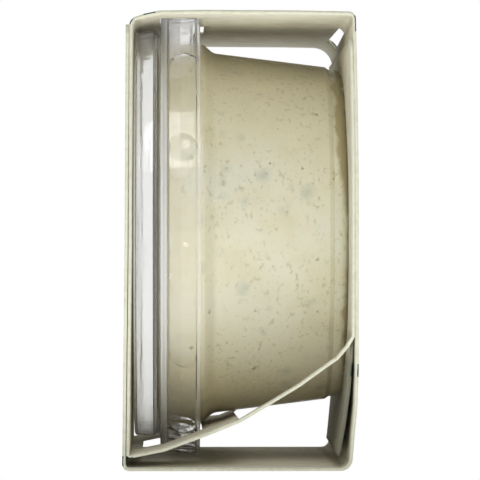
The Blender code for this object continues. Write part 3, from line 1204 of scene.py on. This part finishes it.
def scattered_marks_group():
    """Round marks with ragged edges, at random places and only in a share of the cells."""
    inputs = {"Scale": 300.0, "Radius": 0.15, "Softness": 0.1, "Share": 0.5, "Ragged": 0.1}
    group, start, end = new_group("scattered_marks", inputs, ["Mask"])
    cells = add_node(group, "ShaderNodeTexVoronoi")
    group.links.new(add_node(group, "ShaderNodeTexCoord").outputs["Object"], cells.inputs["Vector"])
    group.links.new(start.outputs["Scale"], cells.inputs["Scale"])
    finer = maths(group, "MULTIPLY", start.outputs["Scale"], FRAY_FINENESS)
    uneven = maths(group, "SUBTRACT", noise_at(group, finer, detail=3.0), 0.5)
    ragged = maths(group, "MULTIPLY", uneven, start.outputs["Ragged"])
    pick = add_node(group, "ShaderNodeSeparateColor")
    group.links.new(cells.outputs["Color"], pick.inputs[0])
    size = maths(group, "ADD", pick.outputs[1], LEAST_SIZE)
    radius = maths(group, "MULTIPLY", start.outputs["Radius"], size)
    inside = maths(group, "SUBTRACT", maths(group, "ADD", radius, ragged), cells.outputs["Distance"])
    mask = maths(group, "DIVIDE", inside, start.outputs["Softness"], clamp=True)
    chosen = maths(group, "LESS_THAN", pick.outputs[0], start.outputs["Share"])
    group.links.new(maths(group, "MULTIPLY", mask, chosen), end.inputs["Mask"])
    return group


SCATTERED_MARKS = scattered_marks_group()

# %% [markdown]
# The colour of the paste
#
# Seen from the side, the middle of the tub shows cool patches where the culture is
# strong. Towards the top and bottom of the round wall a warmer painted shade is laid
# on, and at the very bottom a deeper painted shade still. Where the paste leaves the
# wall at the foot, a brown painted shade is laid on. Each of these is one small function.

# %% Cream, cool patches and a warm painted shade at the edges
CHEESE_PALE = (0.76, 0.735, 0.60)
CHEESE_DEEP = (0.70, 0.67, 0.52)
CHEESE_COOL = (0.71, 0.715, 0.60)
# Warm painted shade for the top and bottom of the round wall, which face away from the light.
CHEESE_WARM_SHADE = (0.80, 0.735, 0.54)
WARM_SHADE_RAMP = [(0.35, (0, 0, 0)), (1.0, (0.75, 0.75, 0.75))]
COOL_AREAS = [(0.38, (0, 0, 0)), (0.6, (0.85, 0.85, 0.85))]


def cream(tree, cloud, z):
    """The paste without any marks, with a warm painted shade at top and bottom."""
    colour = ramp(tree, cloud, [(0.35, CHEESE_DEEP), (0.65, CHEESE_PALE)])
    # Painted shade: warmer with distance above or below the axis.
    off_axis = maths(tree, "ABSOLUTE", maths(tree, "SUBTRACT", z, AXIS_HEIGHT * MM))
    warm = ramp(tree, maths(tree, "DIVIDE", off_axis, BODY_RADIUS * MM), WARM_SHADE_RAMP)
    cool = ramp(tree, noise_at(tree, 55.0, detail=3.0, roughness=0.55), COOL_AREAS)
    cool = maths(tree, "MULTIPLY", cool, maths(tree, "SUBTRACT", 1.0, warm))
    colour = mix_colours(tree, cool, colour, CHEESE_COOL)
    return mix_colours(tree, warm, colour, CHEESE_WARM_SHADE)


# %% Specks, blotches and flecks
SPECK_BROWN = (0.20, 0.17, 0.09)
SPECK_OLIVE = (0.36, 0.35, 0.22)
BLOTCH_BLUE = (0.44, 0.48, 0.41)
BLOTCHES = {"Scale": 230.0, "Radius": 0.36, "Softness": 0.45, "Share": 0.45, "Ragged": 0.6}
SPECKS = {"Scale": 620.0, "Radius": 0.24, "Softness": 0.16, "Share": 0.07, "Ragged": 0.7}
MARKS = [(BLOTCHES, BLOTCH_BLUE, 0.5), (SPECKS, SPECK_BROWN, 0.6)]
MARK_DEPTH = 0.5
FLECK_EDGES = [(0.57, (0, 0, 0)), (0.66, (1, 1, 1))]
FLECK_AREAS = [(0.36, (0.25, 0.25, 0.25)), (0.58, (1, 1, 1))]
FLECK_STRETCH = (1.0, 1.0, 0.75)
FLECK_STRENGTH = 0.38
FLECK_DEPTH = 0.6


def sink(tree, height, mask, depth):
    """Lower the surface where a mask is 1."""
    return maths(tree, "SUBTRACT", height, maths(tree, "MULTIPLY", mask, depth))


def add_marks(tree, colour, height):
    """Lay the marks and the fine flecks over the paste; gives colour and height."""
    for sizes, shade, strength in MARKS:
        mask = place_group(tree, SCATTERED_MARKS, sizes).outputs["Mask"]
        colour = mix_colours(tree, maths(tree, "MULTIPLY", mask, strength), colour, shade)
        height = sink(tree, height, mask, MARK_DEPTH)
    fine = noise_at(tree, 1050.0, detail=3.0, roughness=0.6, stretch=FLECK_STRETCH)
    flecks = ramp(tree, fine, FLECK_EDGES)
    areas = ramp(tree, noise_at(tree, 70.0, detail=2.0), FLECK_AREAS)
    flecks = maths(tree, "MULTIPLY", flecks, areas)
    colour = mix_colours(tree, maths(tree, "MULTIPLY", flecks, FLECK_STRENGTH), colour, SPECK_OLIVE)
    return colour, sink(tree, height, flecks, FLECK_DEPTH)


# %% Painted shade in the hollow at the foot and low in the tub
# A brown painted shade for the hollow at the foot.
HOLLOW_SHADE_BROWN = (0.44, 0.38, 0.21)
HOLLOW_SHADE_STRENGTH = 0.8
HOLLOW_RAGGED = 1.2
HOLLOW_SHARPNESS = 1.6
# A deeper painted shade low in the tub, near the cradle.
LOW_SHADE_DEEP = (0.56, 0.43, 0.17)
LOW_SHADE_TOP = 22.0
LOW_SHADE_RAMP = [(0.0, (1.0, 1.0, 1.0)), (0.45, (0.35, 0.35, 0.35)), (1.0, (0.0, 0.0, 0.0))]


def add_shades(tree, colour, z):
    """Lay painted shade on the paste in the hollow and low in the tub."""
    # Painted shade: brown where the paste leaves the wall in the hollow.
    hollow = add_node(tree, "ShaderNodeAttribute", attribute_name="hollow").outputs["Fac"]
    uneven = maths(tree, "SUBTRACT", noise_at(tree, 500.0, detail=4.0), 0.5)
    ragged = maths(tree, "ADD", hollow, maths(tree, "MULTIPLY", uneven, HOLLOW_RAGGED))
    shade = maths(tree, "MULTIPLY", ragged, HOLLOW_SHARPNESS, clamp=True)
    shade = maths(tree, "MULTIPLY", shade, maths(tree, "GREATER_THAN", hollow, 0.01))
    colour = mix_colours(tree, maths(tree, "MULTIPLY", shade, HOLLOW_SHADE_STRENGTH), colour, HOLLOW_SHADE_BROWN)
    # Painted shade: the paste darkens towards the bottom of the tub.
    low_shade = ramp(tree, maths(tree, "DIVIDE", z, LOW_SHADE_TOP * MM), LOW_SHADE_RAMP)
    return mix_colours(tree, low_shade, colour, LOW_SHADE_DEEP)


# %% [markdown]
# The finish of the paste
#
# The paste is wet against the plastic, so it has almost no gloss of its own, and the
# plastic in front of it shines instead. A little subsurface scattering softens the
# light as in any soft cheese, red light travelling furthest. The marks are slightly
# sunk, which a gentle bump shows.

# %% Soft cheese material
SCATTER_COLOURS = (1.0, 0.75, 0.4)
SCATTER_DEPTH = 0.002
CLOUD_HEIGHT = 0.3


def soft_cheese():
    material, tree, shader = material_with_shader("soft_cheese")
    place = add_node(tree, "ShaderNodeSeparateXYZ")
    tree.links.new(add_node(tree, "ShaderNodeTexCoord").outputs["Object"], place.inputs[0])
    z = place.outputs[2]
    cloud = noise_at(tree, 110.0, detail=5.0, roughness=0.6)
    colour = cream(tree, cloud, z)
    colour, height = add_marks(tree, colour, maths(tree, "MULTIPLY", cloud, CLOUD_HEIGHT))
    tree.links.new(add_shades(tree, colour, z), shader.inputs["Base Color"])
    shader.inputs["Roughness"].default_value = 0.6
    shader.inputs["Specular IOR Level"].default_value = 0.02
    shader.inputs["Subsurface Weight"].default_value = 0.15
    shader.inputs["Subsurface Radius"].default_value = SCATTER_COLOURS
    shader.inputs["Subsurface Scale"].default_value = SCATTER_DEPTH
    add_bump(tree, shader, height, strength=0.22, distance=0.0003)
    return material


# %% [markdown]
# The filling
#
# The inside of the tub could be cut out of a block, but turning the tub's own outline
# again gives cleaner faces. The paste touches the wall nearly everywhere, so its piece
# reaches a little into the plastic and no film of air shows between them. Only along the
# foot does it leave an uneven hollow, on which a brown painted shade is laid. The hollow's depth
# is set at a few angles round the axis, in radians, 0 being level at the front and
# positive angles above it.

# %% The filling
HOLLOW_DEPTHS = [
    (-1.3, 0),
    (-0.9, 1.4),
    (-0.5, 1.5),
    (-0.1, 0.8),
    (0.08, 0.9),
    (0.26, 1.7),
    (0.47, 2.6),
    (1.07, 3.1),
    (1.5, 2.6),
    (2.0, 1.5),
    (2.6, 0),
]
HOLLOW_UNEVEN = 0.3
HOLLOW_FREQUENCY = 9.0
HOLLOW_RETREAT = 0.1
HOLLOW_SLOPE = 0.08


def hollow_reach(x, angle):
    """How far a place on the paste lies past the edge of the hollow, in millimetres."""
    turn = math.remainder(angle, math.tau)
    angles, depths = zip(*HOLLOW_DEPTHS)
    if not angles[0] < turn < angles[-1]:
        return 0.0
    uneven = noise.noise(Vector((math.cos(angle), math.sin(angle), 0.0)) * HOLLOW_FREQUENCY)
    depth = float(np.interp(turn, angles, depths)) * (1 + HOLLOW_UNEVEN * uneven)
    return max(0.0, x - (BASE_FACE - depth))


def leave_hollow(x, radius, angle):
    """Pull the paste back a little where it doesn't fill the foot's corner."""
    past = hollow_reach(x, angle)
    slope = HOLLOW_SLOPE if radius > FOOT_RADIUS / 2 else 0.0
    return x - past * HOLLOW_RETREAT, radius - past * slope


# %% Build the filling
CHEESE_STEP = 0.8
CHEESE_SHIFT = INNER_SHIFT / 2


def make_cheese():
    inset = TUB_WALL / 2
    outline = [
        (BASE_FACE - inset, 0, 0),
        (BASE_FACE - inset, FOOT_RADIUS - inset, FOOT_BEND - inset),
        (STEP_X[1] - CHEESE_SHIFT, FOOT_RADIUS - inset, 0.4),
        (STEP_X[0] - CHEESE_SHIFT, FOOT_RADIUS + STEP_HEIGHT - inset, 0.5),
        (SHOULDER_X - CHEESE_SHIFT, BODY_RADIUS - inset, SHOULDER_BEND),
        (NECK_X - 0.1, NECK_RADIUS - inset - NECK_FLARE, NECK_BEND),
        (RIM_FACE + inset, NECK_RADIUS - inset, 0.3),
        (RIM_FACE + inset, 0, 0),
    ]
    filling = turned(outline, TUB_ARC_STEPS, CHEESE_STEP, TUB_TURNS, leave_hollow)
    hollow = filling.verts.layers.float.new("hollow")
    for vert in filling.verts:
        x, depth, z = vert.co / MM
        vert[hollow] = min(1.0, hollow_reach(x, math.atan2(z - AXIS_HEIGHT, -depth)))
    cheese = add_piece("cheese_filling", filling, [soft_cheese()])
    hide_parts("cheese")
    print("cheese faces", len(cheese.data.polygons))


make_cheese()
